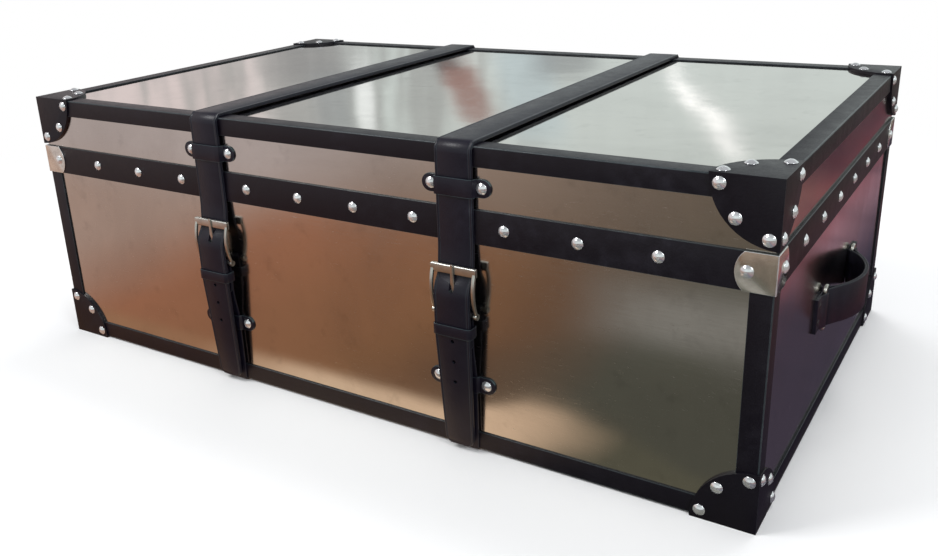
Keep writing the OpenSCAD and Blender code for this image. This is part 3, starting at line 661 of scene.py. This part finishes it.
NAIL_R, NAIL_H = 6.25, 3.2
dome = (NAIL_R ** 2 + NAIL_H ** 2) / (2 * NAIL_H)
NAIL = lathe([(NAIL_R - 0.5, -0.05), (NAIL_R - 0.12, 0.02), (NAIL_R, 0.22), (NAIL_R - 0.1, 0.45)]
             + [(r, NAIL_H - dome + sqrt(dome ** 2 - r ** 2)) for r in (5.7, 4.9, 3.9, 2.8, 1.5, 0.6)]
             + [(0, NAIL_H)], 32)
for node in ("case_cap_nails", "lid_cap_nails", "band_nails", "lower_loop_nails", "upper_loop_nails",
             "strap_anchor_nails"):
    nails(node, "nickel", CHROME, NAIL)


def slotted(r=3.0, h=1.0, gap=0.5):
    """A screw head with a slot: two half discs on a thin floor."""
    a = radians(90) - atan2(gap / 2, r)
    halves = []
    for flip in (0, pi):
        rim = [(-a + 2 * a * i / 14) for i in range(15)]
        lower = [(r * cos(t + flip), r * sin(t + flip), 0.0) for t in rim]
        upper = [(x * 0.96, y * 0.96, h * 0.75) for x, y, _ in lower]
        top = [(x * 0.72, y * 0.78, h) for x, y, _ in lower]
        n = len(rim)
        faces = [(k * n + i, k * n + (i + 1) % n, (k + 1) * n + (i + 1) % n, (k + 1) * n + i)
                 for k in range(2) for i in range(n)]
        halves.append((lower + upper + top, faces + [tuple(range(2 * n, 3 * n)), tuple(reversed(range(n)))]))
    halves.append(lathe([(r * 0.9, 0), (r * 0.9, h * 0.4), (0, h * 0.4)], 20))
    return joined(halves)


for node in ("hinge_case_screws", "hinge_lid_screws"):
    nails(node, "hinge_steel", HINGE, slotted(), False, 0.9)
nails("handle_rivets", "black_rivet", RIVET,
      lathe([(4.0, -0.05), (4.0, 0.3), (3.7, 0.6), (2.9, 0.85), (1.6, 0.97), (0, 1.0)]), False)

# ---- Straps ----

HOLE_Z, HOLE_H = 202.0, 13.0
SPARE_HOLES = (139.0, 114.0, 89.0)
REAR_END_Z, TAIL_END = 300.5, 8.0
# Depths of the strap's free end: it leans out, hangs level over the chape, and leans back to the base.
LEAN_D, LEAN_Z = 3.0, 212.0
OVER_D, OVER_Z, KEEPER_Z = 13.2, 198.0, 144.7
END_D = 5.5
TIP_W = 36.0
side_names = ((-STRAP_X, "left"), (STRAP_X, "right"))


def strap_line(x):
    """The inner face of a strap, from its rear end over the lid and down to the free end."""
    rear, corner = FACE_Y + STRAP_IN, STRAP_TOP
    path = [(rear, REAR_END_Z), (rear, corner), (-rear, corner), (-rear, SEAM_Z - TAIL_DROP),
            (-rear - LEAN_D, LEAN_Z), (-rear - OVER_D, OVER_Z), (-rear - OVER_D, KEEPER_Z),
            (-rear - END_D, TAIL_END)]
    points = filleted([(0, y, z) for y, z in path], [4.5, 4.5, 120, 24, 24, 160], 9)
    return Line([Vector((x, p.y, p.z)) for p in points])


def taper_of(line):
    def taper(s):
        below = max(KEEPER_Z - line.at(s).z, 0.0) / (KEEPER_Z - TAIL_END)
        return 1.0 - (1.0 - TIP_W / STRAP_W) * below
    return taper


for x, side in side_names:
    line = strap_line(x)
    body = swept(line, X, strip(STRAP_W, STRAP_T, 0.9, 2, 3.2, 0.0), 5.0, (6.0, 9.0), taper_of(line))
    strap = new_piece("strap_and_tail_" + side, *body)
    holes = [slot_tool(x, 0, 30, HOLE_Z, 6, HOLE_H)]
    holes += [slot_tool(x, 2, 30, z, 4.5, 0) for z in SPARE_HOLES]
    cut(strap, holes)
    smooth(strap, 40)
    fit_out(edged(strap, X), None, "strap_leather", BELTED, "strap_" + side, "strap_tail_" + side)
    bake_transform(strap)

# ---- Loops, keepers and chapes ----


def loop_over(x, z, inner, bridge):
    """A loop nailed beside a strap: feet on the sheet and a bridge whose inner face is at bridge."""
    leg, top = inner + 1.3, bridge + 1.0
    path = [(-42, 1), (-leg, 1), (-leg + 0.6, top), (leg - 0.6, top), (leg, 1), (42, 1)]
    points = filleted([(px, -FACE_Y - d, 0) for px, d in path], [1.6, 2.2, 2.2, 1.6], 6)
    line = Line([p + Vector((x, 0, z)) for p in points])
    return swept(line, Z, strip(20, 2, 0.5), 4.0, (9.9, 9.9))


for node, z, inner, bridge in (("upper_loops", UPPER_LOOP_Z, 22.3, 7.3),
                               ("lower_loops", LOWER_LOOP_Z, 20.3, 4.3)):
    loops = new_piece(node + "_bent", *joined([loop_over(x, z, inner, bridge) for x, _ in side_names]))
    fit_out(edged(smooth(loops), Z), NODES[node]["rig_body"], "strap_leather", LOOPED, node)

keeper_parts = []
for x, _ in side_names:
    ring = [(23.1, 6.0), (23.1, 21.3), (-23.1, 21.3), (-23.1, 6.0), (0, 6.0)]
    path = filleted([(0, 6.0, 0)] + [(a, b, 0) for a, b in ring], 3.0, 6)
    line = Line([Vector((x + p.x, -FACE_Y - p.y, 151.4)) for p in path[:-1]], True)
    keeper_parts.append(swept(line, Z, strip(12.8, 1.6, 0.5), 2.5))
fit_out(edged(smooth(new_piece("keeper_loops", *joined(keeper_parts))), Z), "case", "strap_leather", LOOPED,
        "keepers")

for x, side in side_names:
    wrap = arc((HEEL_D, HEEL_Z), 3.2, 180, -10, 12)
    path = filleted([(-36, 1, 0), (3, 1, 0), (3, 94, 0), (8, 126, 0), (8, HEEL_Z, 0)], [2.4, 60, 60], 6)[:-1]
    turned = [(14.1, 164), (12.8, 157), (10.9, 150), (10.15, 143), (10.05, 128)]
    path = [(p.x, p.y) for p in path] + wrap + turned
    line = Line(front(path, x))
    piece = new_piece("chape_strap_" + side, *swept(line, X, strip(40, 2, 0.5), 3.0, (0, 7)))
    cut(piece, [slot_tool(x, 0.0, 20, HEEL_Z, 9, 18)])
    fit_out(edged(smooth(piece), X), "case", "strap_leather", BELTED, "chape_" + side)

# ---- Buckles ----


def side_bar_line(x):
    low, high, bow = Vector((HEEL_D, HEEL_Z)), Vector((BAR_D + BAR_T / 2, BAR_Z)), 5.0
    points = []
    for i in range(25):
        t = i / 24
        p = low.lerp(high, t) + Vector((bow * 4 * t * (1 - t), 0))
        points.append((p.x, p.y))
    return Line(front(points, x))


for x, side in side_names:
    h, t, b = BAR_H / 2, BAR_T, 1.3
    upper = arc((h - b, t - b), b, 0, 90, 5)
    lower = arc((b - h, t - b), b, 90, 180, 5)
    bar = [(-h + 0.3, 0), (h - 0.3, 0), (h, 0.3)] + upper + lower + [(-h, 0.3)]
    half = BUCKLE_W / 2
    top = Line([(x - half, -FACE_Y - BAR_D, BAR_Z), (x + half, -FACE_Y - BAR_D, BAR_Z)])
    parts = [swept(top, Z, bar, 4.0, (1.0, 1.0))]
    for s in (-1, 1):
        bar_x = x + s * (half - 2)
        parts.append(swept(side_bar_line(bar_x), X, strip(4, 3.2, 0.8), 2.5))
        eye = Line([(bar_x - 2, -FACE_Y - HEEL_D, HEEL_Z), (bar_x + 2, -FACE_Y - HEEL_D, HEEL_Z)])
        parts.append(swept(eye, Z, round_bar(3.6, 24), 1.0))
    heel = Line([(x - half + 1, -FACE_Y - HEEL_D, HEEL_Z), (x + half - 1, -FACE_Y - HEEL_D, HEEL_Z)])
    parts.append(swept(heel, Z, round_bar(2.0, 16), 8.0))
    frame_piece = smooth(new_piece("buckle_frame_bars_" + side, *joined(parts)), 24)
    fit_out(frame_piece, "buckle_" + side, "nickel", NICKEL, "buckle_frame_" + side)

    curl = arc((HEEL_D, HEEL_Z), 3.05, -250, 0, 16)
    tip = (BAR_D + BAR_T + 1.1, BAR_Z + 7)
    path = Line(front(curl + [(HEEL_D + 3.15, 172), tip], x))
    taper = lambda s, n=path.length: 1.0 if s < n - 22 else 1.0 - 0.35 * (s - n + 22) / 22
    prong = swept(path, X, strip(5, 1.8, 0.6), 1.6, (0, 1.6), taper)
    prong_piece = smooth(new_piece("prong_" + side, *prong), 40)
    fit_out(prong_piece, "prong_" + side, "nickel", NICKEL, "buckle_prong_" + side)

# ---- Handles ----

RING_D, RING_Y, RING_GAP = 4.5, 68.0, 12.0
HANDLE_Z, HANDLE_BOW = 150.0, 27.0


def outward(points, s, z=HANDLE_Z, flip=1):
    """Points given as depth outside an end sheet and y, placed on the end with sign s."""
    return [Vector((s * (FACE_X + d), flip * y, z)) for d, y in points]


def handle_loop():
    """A strap folded round both ring bars: its two layers run together along the grip."""
    radius = (RING_Y ** 2 + HANDLE_BOW ** 2) / (2 * HANDLE_BOW)
    centre = RING_D + HANDLE_BOW - radius
    end = atan2(RING_Y, RING_D - centre)
    n, eye, gap = 40, 3.25, 1.15

    def at(t, side):
        a = end * t
        near = min(max((abs(t) - 0.80) / 0.20, 0.0), 1.0)
        off = gap + (eye - gap) * near * near * (3 - 2 * near)
        r = radius + side * off
        return centre + r * cos(a), r * sin(a)

    outer = [at(-1 + 2 * i / n, 1) for i in range(n + 1)]
    inner = [at(1 - 2 * i / n, -1) for i in range(n + 1)]
    a = end * 180 / pi
    turn_1 = arc((RING_D, RING_Y), eye, a, a + 180, 12)[1:-1]
    turn_2 = arc((RING_D, -RING_Y), eye, 180 - a, 360 - a, 12)[1:-1]
    return outer + turn_1 + inner + turn_2


def tab_line():
    """A tab folded round the outer bar of a ring, both layers lying on the end sheet."""
    bar, end = RING_Y + RING_GAP, RING_Y + RING_GAP + 26
    top = [(2.75, end), (2.75, bar + 12), (4.3, bar + 7.5)]
    under = [(1.5, bar + 6), (0.95, bar + 11), (0.95, end)]
    return top + arc((RING_D, bar), 3.15, 35, -199, 13) + under


handle_section = strip(44, 2.2, 0.7)
ring_parts, tab_parts = [], []
for s, side in ((-1, "left"), (1, "right")):
    grip = swept(Line(outward(handle_loop(), s), True), Z, handle_section, 3.0)
    piece = edged(smooth(new_piece("handle_grip_" + side, *grip)), Z)
    fit_out(piece, "case", "strap_leather", BELTED, "handle_" + side)
    for flip in (-1, 1):
        d = s * (FACE_X + RING_D)
        y0, y1 = flip * RING_Y, flip * (RING_Y + RING_GAP)
        corners = [(y0, 125), (y1, 125), (y1, 175), (y0, 175)]
        loop = filleted([(d, (y0 + y1) / 2, 125)] + [(d, y, z) for y, z in corners[1:]]
                        + [(d, y0, 125), (d, (y0 + y1) / 2, 125)], 3.2, 6)
        ring_parts.append(swept(Line(loop[:-1], True), X, round_bar(2.0, 16), 2.0))
        tab_parts.append(swept(Line(outward(tab_line(), s, flip=flip)), Z, strip(40, 1.8, 0.5), 2.2))
rings = smooth(new_piece("handle_ring_wire", *joined(ring_parts)), 60)
fit_out(rings, "case", "nickel", NICKEL, "handle_rings")
fit_out(edged(smooth(new_piece("handle_tab_straps", *joined(tab_parts))), Z), "case", "strap_leather", BELTED,
        "handle_tabs")

# ---- Camera ----

azimuth, elevation, roll = radians(33.686), radians(19.915), radians(-2.502)
back = Vector((sin(azimuth) * cos(elevation), -cos(azimuth) * cos(elevation), sin(elevation)))
right = Vector((cos(azimuth), sin(azimuth), 0))
up = back.cross(right)
right, up = right * cos(roll) + up * sin(roll), up * cos(roll) - right * sin(roll)
lens = bpy.data.cameras.new("camera")
lens.sensor_width = 36
lens.lens = 36.278
lens.shift_x, lens.shift_y = 0.0335, -0.0301
lens.clip_start = 0.05
camera = bpy.data.objects.new("camera", lens)
turned = Matrix((right, up, back)).transposed().to_4x4()
camera.matrix_world = Matrix.Translation((0.6839, -1.0992, 0.5817)) @ turned
scene.collection.objects.link(camera)
scene.camera = camera

# ---- Floor, backdrop and light ----


def floor_build():
    """Pale floor. Glossy rays see a dim room on it, so that the sheets have something to reflect."""
    mat = bpy.data.materials.new("floor")
    mat.use_nodes = True
    s = Shade(mat.node_tree)
    x, y, _ = s.split()
    ray = s.add("LightPath").outputs
    wander = s.noise(2.2, 3, 0.5)
    wx = s.math("ADD", x, s.math("MULTIPLY", s.math("SUBTRACT", wander, 0.5), 0.35))
    brown = s.ramp(s.between(wx, -0.85, 0.25, soft=False),
                   (0.0, (0.52, 0.37, 0.31)), (0.3, (0.43, 0.19, 0.11)), (0.7, (0.29, 0.145, 0.075)),
                   (0.85, (0.20, 0.11, 0.065)), (1.0, (0.10, 0.10, 0.08)))
    far = s.ramp(s.between(wx, -1.0, 0.2, soft=False), (0.0, (0.60, 0.52, 0.51)), (0.5, (0.34, 0.25, 0.20)),
                 (1.0, (0.16, 0.13, 0.10)))
    ahead = s.mix(s.between(y, -0.86, -1.10), brown, far)
    screen = s.math("MULTIPLY", s.between(y, -0.62, -0.70), s.between(y, -0.90, -0.80))
    screen = s.math("MULTIPLY", screen, s.between(wx, 0.08, 0.17))
    ahead = s.mix(s.math("MULTIPLY", screen, 0.85), ahead, (0.33, 0.32, 0.30))
    near_edge = s.math("SUBTRACT", -0.384, s.math("MULTIPLY", s.between(wx, 0.12, 0.20), 0.056))
    near_edge = s.math("ADD", near_edge, s.math("MULTIPLY", s.between(wx, 0.24, 0.45), 0.06))
    beige = s.mix(s.between(wx, 0.20, 0.33), (0.86, 0.62, 0.43), (0.13, 0.125, 0.09))
    beige = s.mix(s.between(wx, -0.05, -0.30), beige, (0.42, 0.22, 0.125))
    ahead = s.mix(s.between(y, s.math("ADD", near_edge, 0.035), near_edge), beige, ahead)
    patches = s.noise(7.0, 5, 0.65, stretch=(2.0, 1.0, 1.0), distortion=0.5)
    slate = s.ramp(s.between(x, 0.52, 0.76, soft=False),
                   (0.0, (0.014, 0.022, 0.042)), (0.12, (0.040, 0.038, 0.062)),
                   (0.22, (0.13, 0.090, 0.13)), (0.36, (0.36, 0.23, 0.28)), (0.46, (0.40, 0.20, 0.24)),
                   (0.56, (0.30, 0.045, 0.06)), (0.72, (0.08, 0.030, 0.045)), (0.85, (0.11, 0.050, 0.06)),
                   (1.0, (0.06, 0.03, 0.04)))
    warm = s.math("MULTIPLY", s.between(x, 0.66, 0.70), s.between(y, 1.15, 0.75))
    slate = s.mix(s.math("MULTIPLY", warm, 0.7), slate, (0.36, 0.17, 0.15))
    dim = s.math("MULTIPLY", s.between(y, 0.60, 0.20), s.between(x, 0.66, 0.62))
    slate = s.mix(dim, slate, (0.060, 0.048, 0.072))
    slate = s.mix(s.between(patches, 0.45, 0.65, 0, 0.6), slate, (0.045, 0.04, 0.06))
    room = s.mix(s.between(x, 0.495, 0.515), ahead, slate)
    rear = s.math("MULTIPLY", s.between(y, 0.30, 0.45), s.between(x, 0.515, 0.495))
    aside = s.math("MAXIMUM", rear, s.between(x, 0.80, 1.0))
    room = s.mix(aside, room, s.mix(patches, (0.30, 0.25, 0.21), (0.20, 0.17, 0.15)))
    tone = s.mix(s.between(s.noise(1.3, 3), 0.3, 0.7), (0.86, 0.86, 0.86), (0.88, 0.88, 0.875))
    pale = s.add("BsdfPrincipled", {"Base Color": tone, "Roughness": 0.9, "Specular IOR Level": 0.1})
    white = s.add("Emission", {"Color": (1.0, 1.0, 1.0), "Strength": 1.0})
    spread = s.math("SQRT", s.math("ADD", s.math("MULTIPLY", x, x), s.math("MULTIPLY", y, y)))
    beyond = s.math("MULTIPLY", s.between(spread, 0.75, 1.7), ray["Is Camera Ray"])
    seen = s.add("MixShader", {0: beyond, 1: pale.outputs[0], 2: white.outputs[0]})
    glow = s.add("Emission", {"Color": room, "Strength": 1.0})
    both = s.add("MixShader", {0: ray["Is Glossy Ray"], 1: seen.outputs[0], 2: glow.outputs[0]})
    s.add("OutputMaterial", {"Surface": both.outputs[0]})
    return mat


floor = new_piece("floor", [(-9, -9, 0), (9, -9, 0), (9, 9, 0), (-9, 9, 0)], [(0, 1, 2, 3)], 1.0)
floor.data.materials.append(floor_build())

world = bpy.data.worlds.new("studio")
scene.world = world
world.use_nodes = True
sky = Shade(world.node_tree)
ray = sky.add("LightPath").outputs
across, forward, height = sky.split("Generated")
wander = sky.noise(11.0, 3, 0.5, source="Generated")
across = sky.math("ADD", across, sky.math("MULTIPLY", sky.math("SUBTRACT", wander, 0.5), 0.035))
ahead = sky.between(forward, 0.0, 0.3)


def card(place, slope, wide, tall, tint, amount):
    """A soft upright patch behind the trunk, for the lid to mirror.

    The place and the sizes are components of the direction towards it."""
    up = sky.math("SUBTRACT", height, place[1])
    side = sky.math("SUBTRACT", sky.math("SUBTRACT", across, place[0]), sky.math("MULTIPLY", up, slope))
    cover = sky.math("MULTIPLY", sky.between(sky.math("ABSOLUTE", side), wide, wide * 0.3),
                     sky.between(sky.math("ABSOLUTE", up), tall, tall * 0.6))
    return sky.mix(sky.math("MULTIPLY", sky.math("MULTIPLY", cover, ahead), amount), seen, tint)


folds = sky.noise(30.0, 4, 0.6, stretch=(1.0, 1.0, 0.14), distortion=0.25, source="Generated")
streaks = sky.math("MULTIPLY", sky.between(folds, 0.40, 0.60), sky.between(across, -0.38, -0.56, 0.06, 0.75))
seen = sky.mix(sky.between(across, -0.60, -0.72), (0.74, 0.81, 0.79), (0.86, 0.75, 0.74))
seen = sky.mix(streaks, seen, (0.42, 0.43, 0.42))
for place, slope, wide, tall, tint, amount in (
        ((-0.645, 0.142), 0.3, 0.050, 0.030, (0.34, 0.34, 0.34), 0.8),
        ((-0.628, 0.190), 0.2, 0.022, 0.045, (0.34, 0.36, 0.37), 0.7),
        ((-0.600, 0.190), 0.2, 0.012, 0.050, (1.15, 1.20, 1.20), 0.8),
        ((-0.538, 0.145), 0.8, 0.020, 0.030, (0.07, 0.08, 0.09), 0.9),
        ((-0.510, 0.183), 0.5, 0.026, 0.038, (0.38, 0.21, 0.18), 0.85),
        ((-0.455, 0.175), 0.3, 0.035, 0.070, (0.62, 0.74, 0.78), 0.7),
        ((-0.425, 0.145), 0.0, 0.045, 0.030, (0.30, 0.32, 0.33), 0.7),
        ((-0.294, 0.206), 0.94, 0.010, 0.050, (1.8, 1.8, 1.8), 0.85),
        ((-0.276, 0.212), 1.1, 0.006, 0.034, (1.4, 1.4, 1.4), 0.5)):
    seen = card(place, slope, wide, tall, tint, amount)
seen = sky.mix(sky.between(height, 0.35, 0.8), seen, (0.36, 0.37, 0.38))
colour = sky.mix(ray["Is Glossy Ray"], (0.62, 0.63, 0.65), seen)
colour = sky.mix(ray["Is Camera Ray"], colour, (1.0, 1.0, 1.0))
shine = sky.add("Background", {"Color": colour, "Strength": 1.0})
sky.add("OutputWorld", {"Surface": shine.outputs[0]})


def lamp(name, place, size, watts, colour=(1, 1, 1), mirrored=True):
    light = bpy.data.lights.new(name, "AREA")
    light.shape = "RECTANGLE"
    light.size, light.size_y = size
    light.energy = watts
    light.color = colour
    obj = bpy.data.objects.new(name, light)
    obj.location = place
    obj.rotation_euler = (Vector((0, 0, 0.15)) - Vector(place)).to_track_quat("-Z", "Y").to_euler()
    obj.visible_glossy = mirrored
    scene.collection.objects.link(obj)


lamp("key", (-1.3, -1.5, 2.3), (1.0, 1.0), 40)
lamp("fill", (2.2, -1.2, 1.7), (0.8, 1.2), 22, (0.95, 0.97, 1.0))
lamp("top", (0.2, 0.9, 2.4), (1.6, 0.8), 30, mirrored=False)

scene.view_settings.view_transform = "Standard"
